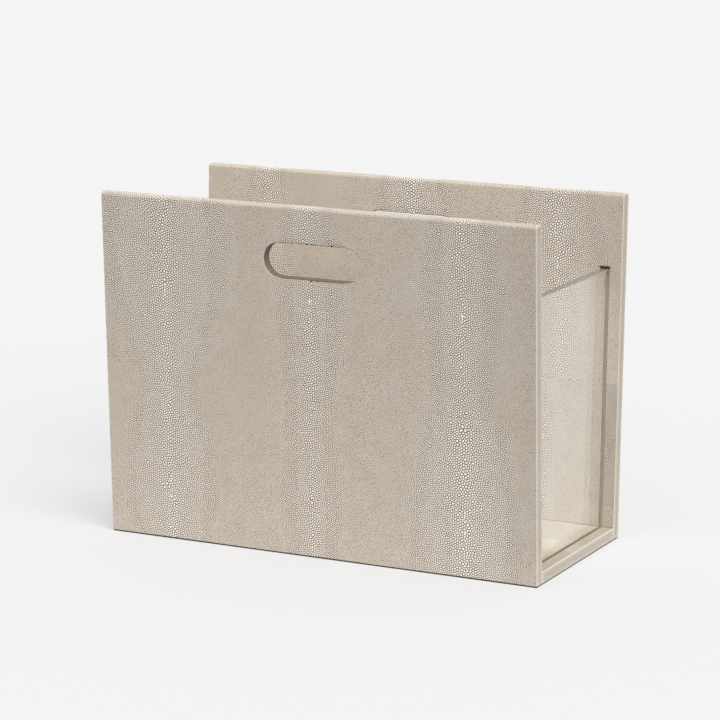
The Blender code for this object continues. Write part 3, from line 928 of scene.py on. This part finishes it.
for side in ("front", "back"):
    seed += 1
    name = f"{side}_slot_lining"
    loop = [slot_ring(grown) for grown in (0.0, HIDE_THICK)]
    run = np.linalg.norm(np.diff(loop[0], axis=0, append=loop[0][:1]), axis=1)
    travelled = np.concatenate([[0.0], np.cumsum(run)[:-1]])
    depths = np.linspace(lining_low, lining_high, LINING_ROWS)
    rows = [(loop[0], depth) for depth in depths] + [(loop[1], depth) for depth in depths[::-1]]
    points = np.concatenate([np.column_stack([ring, np.full(len(ring), -depth)]) for ring, depth in rows])
    around, down = len(loop[0]), len(rows)
    faces = []
    for row in range(down):
        for spot in range(around):
            here, there = spot, (spot + 1) % around
            below = (row + 1) % down * around
            faces.append((row * around + here, row * around + there, below + there, below + here))
    mesh = new_mesh(name, on_board(points, side, "outer"), faces)
    lay = np.column_stack([np.tile(travelled, down), -points[:, 2], np.zeros(len(points))])
    keep_on_points(mesh, "lay", lay)
    keep_on_points(mesh, "bead", np.full(len(points), LINING_GRAIN))
    # The lining is coloured with painted shade, much darker than the hides
    mesh.materials.append(shagreen(name, *LINING_SHADE))
    piece = new_piece(name, mesh)
    fix_normals(mesh)
    mesh.shade_smooth()
    mesh.set_sharp_from_angle(angle=math.radians(SHARP_FROM))
    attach(piece, "root")
    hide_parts(f"{side}_handle_lining")


# End strips
# Narrow strips of even, fine skin are glued over the ends of the boards and of the floor, after the
# hides. Their edges are pared round, and a pale band painted along them stands for rubbing where they
# meet the hides and for the highlight on that rounding.
STRIP_GRAIN = 0.00145
STRIP_RIM = 0.00035
STRIP_TINT = (0.92, 1.0)
STRIP_SKIN = Skin(1.0, STRIP_GRAIN, 10.0, 10.0, 0.0, 1.0, 2.0, (), STRIP_GRAIN - FRINGE - RISE_OUT)

for part in ("front", "back", "base"):
    for end, way in (("left", -1), ("right", 1)):
        seed += 1
        node = f"{part}_end_strip_{end}"
        box_low, box_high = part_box(node)
        face_x = box_high.x if way > 0 else box_low.x
        side = -1 if part == "back" else 1
        if part == "base":
            low, high = np.array([box_low.y, box_low.z]), np.array([box_high.y, box_high.z])
        else:
            low = np.array([0.0, box_low.z / math.cos(LEAN)])
            high = np.array([BOARD_THICK, BOARD_RUN])

        def on_end(flat):
            """Stands a flat strip on the end of its board, its lower edge level."""
            x = face_x + way * flat[:, 2]
            if part == "base":
                return np.column_stack([x, flat[:, 0], flat[:, 1]])
            above = (flat[:, 1] - low[1]) / (high[1] - low[1])
            rise = flat[:, 1] - flat[:, 0] * math.tan(LEAN) * (1 - above)
            depth = flat[:, 0] * math.cos(LEAN) - rise * math.sin(LEAN) - BASE_DEPTH / 2
            height = flat[:, 0] * math.sin(LEAN) + rise * math.cos(LEAN)
            return np.column_stack([x, side * depth, height])

        lay_hide(
            node.replace("_strip_", "_shagreen_strip_"),
            node,
            low,
            high,
            STRIP_SKIN,
            seed,
            on_end,
            way * side < 0,
            tint=STRIP_TINT,
            corner=0.0 if part == "base" else EDGE_ROUND,
            rim=STRIP_RIM,
        )


# Felt
# A thin dark felt under the whole holder, glued on and trimmed a little inside the edges.
FELT_DARK = (0.030, 0.036, 0.030)
FELT_LIGHT = (0.075, 0.085, 0.070)
HAIR_SIZE = 0.0007

felt = fibrous(
    "felt", FELT_DARK, FELT_LIGHT, HAIR_SIZE, (1.0, 1.0, 1.0), 6.0, 0.75, 0.0003,
    Roughness=0.95, Specular_IOR_Level=0.15, Sheen_Weight=0.3,
)
wear(felt, "underside_felt")


# End panels
# Clear cast acrylic, captured in stopped grooves as the boards are joined round it. Its faces have the
# faint waviness of a cast sheet and a few wiping marks. Its edges are scraped, and their brown colour
# is a painted reflection of the shagreen round them.
ACRYLIC = (0.955, 0.960, 0.945)
ACRYLIC_IOR = 1.49
# brown of the scraped edges: a painted reflection of the shagreen seen in them
EDGE_PAINTED_REFLECTION = (0.34, 0.29, 0.235)
EDGE_CLEARNESS = 0.35

acrylic, tree, shader = new_material(
    "cast_acrylic", Base_Color=(*ACRYLIC, 1.0), Transmission_Weight=1.0, IOR=ACRYLIC_IOR
)
where = put(tree, "ShaderNodeTexCoord").outputs["Object"]
wiped = put(tree, "ShaderNodeMapping", {"Vector": where, "Scale": (1.0, 1.0, 0.15)}).outputs[0]
marks = noise(tree, wiped, 0.012, 5.0, 0.7)
normal = put(tree, "ShaderNodeTexCoord").outputs["Normal"]
facing = put(tree, "ShaderNodeSeparateXYZ", {0: normal}).outputs["X"]
edge = remap(tree, maths(tree, "ABSOLUTE", facing), 0.9, 0.6)
sawn = noise(tree, where, 0.0025, 4.0)
polished = remap(tree, marks, 0.45, 0.8, 0.008, 0.045)
scraped = remap(tree, sawn, 0.3, 0.7, 0.18, 0.30)
roughness = put(tree, "ShaderNodeMix", {0: edge, 2: polished, 3: scraped}).outputs[0]
tree.links.new(roughness, shader.inputs["Roughness"])
# The edges are coloured brown, a painted reflection of the shagreen round them
tree.links.new(mix_colours(tree, edge, ACRYLIC, EDGE_PAINTED_REFLECTION), shader.inputs["Base Color"])
tree.links.new(remap(tree, edge, 0.0, 1.0, 1.0, EDGE_CLEARNESS), shader.inputs["Transmission Weight"])
tree.links.new(bump(tree, noise(tree, where, 0.06, 1.0), 0.0004, 0.15), shader.inputs["Normal"])
is_shadow = put(tree, "ShaderNodeLightPath").outputs["Is Shadow Ray"]
clear = put(tree, "ShaderNodeBsdfTransparent", {"Color": (*ACRYLIC, 1.0)}).outputs[0]
lit = put(tree, "ShaderNodeMixShader", {0: is_shadow, 1: shader.outputs[0], 2: clear}).outputs[0]
tree.links.new(lit, tree.nodes["Material Output"].inputs["Surface"])
wear(acrylic, "left_end_panel", "right_end_panel")


# Studio
# A plain pale table and backdrop under one broad soft light from the right, with an even fill all
# round. Only the part of the table beside the holder throws light back up at it.
BACKDROP = 0.896          # the pale grey that the camera sees
TABLE = 0.605
TABLE_SIZE = 24.0
SHADOW_SHARE = 0.50       # how much of the table's look is shaded, and not the plain grey
BOUNCE_NEAR = 0.40
BOUNCE_FAR = 0.05
BOUNCE_REACH = (0.12, 0.30)
FILL = 0.80
SOFTBOX_FROM = (0.66, -0.50, 0.70)
SOFTBOX_STRENGTH = 3.49
SOFTBOX_WIDTH = 50        # degrees, as the holder sees it
CAMERA_AT = (1.1687, -2.3234, 0.7048)
CAMERA_TILT = 78.11
CAMERA_TURN = 26.79
CAMERA_LENS = 152.25


def seen_straight(tree):
    """1 for rays that show the backdrop to the camera, also in a reflection or through the panels."""
    path = put(tree, "ShaderNodeLightPath").outputs
    glass = maths(tree, "MAXIMUM", path["Is Glossy Ray"], path["Is Transmission Ray"])
    return maths(tree, "MAXIMUM", path["Is Camera Ray"], glass)


world = bpy.data.worlds.new("studio")
bpy.context.scene.world = world
world.use_nodes = True
tree = world.node_tree
sky = mix_colours(tree, seen_straight(tree), (FILL, FILL, FILL), (BACKDROP, BACKDROP, BACKDROP))
tree.links.new(sky, tree.nodes["Background"].inputs["Color"])

table, tree, shader = new_material("table", Roughness=1.0, Specular_IOR_Level=0.0)
where = put(tree, "ShaderNodeTexCoord").outputs["Object"]
foot = (cad_high.x, BASE_DEPTH / 2, 0.0)
beside = vector_maths(tree, "SUBTRACT", vector_maths(tree, "ABSOLUTE", where)[0], foot)[0]
beside = vector_maths(tree, "MAXIMUM", beside, (0.0, 0.0, 0.0))[0]
away = vector_maths(tree, "LENGTH", beside)["Value"]
bounce = remap(tree, away, *BOUNCE_REACH, BOUNCE_NEAR, BOUNCE_FAR, "SMOOTHSTEP")
straight = seen_straight(tree)
tree.links.new(mix_colours(tree, straight, bounce, (TABLE, TABLE, TABLE)), shader.inputs["Base Color"])
plain = put(tree, "ShaderNodeEmission", {"Color": (*[BACKDROP] * 3, 1.0), "Strength": 1.0}).outputs[0]
share = maths(tree, "MULTIPLY", straight, 1 - SHADOW_SHARE)
looks = put(tree, "ShaderNodeMixShader", {0: share, 1: shader.outputs[0], 2: plain}).outputs[0]
tree.links.new(looks, tree.nodes["Material Output"].inputs["Surface"])
bm = bmesh.new()
bmesh.ops.create_grid(bm, x_segments=1, y_segments=1, size=TABLE_SIZE / 2)
mesh = bpy.data.meshes.new("table")
bm.to_mesh(mesh)
bm.free()
mesh.materials.append(table)
floor = new_piece("table", mesh)

lamp = bpy.data.lights.new("softbox", "SUN")
lamp.energy = SOFTBOX_STRENGTH
lamp.angle = math.radians(SOFTBOX_WIDTH)
softbox = bpy.data.objects.new("softbox", lamp)
bpy.context.collection.objects.link(softbox)
softbox.rotation_euler = Vector(SOFTBOX_FROM).to_track_quat("Z", "Y").to_euler()

camera = bpy.data.objects.new("camera", bpy.data.cameras.new("camera"))
bpy.context.collection.objects.link(camera)
camera.location = CAMERA_AT
camera.rotation_euler = Euler((math.radians(CAMERA_TILT), 0, math.radians(CAMERA_TURN)))
camera.data.lens = CAMERA_LENS
camera.data.sensor_width = 36.0
camera.data.clip_end = 60.0
bpy.context.scene.camera = camera
bpy.context.scene.view_settings.view_transform = "Standard"
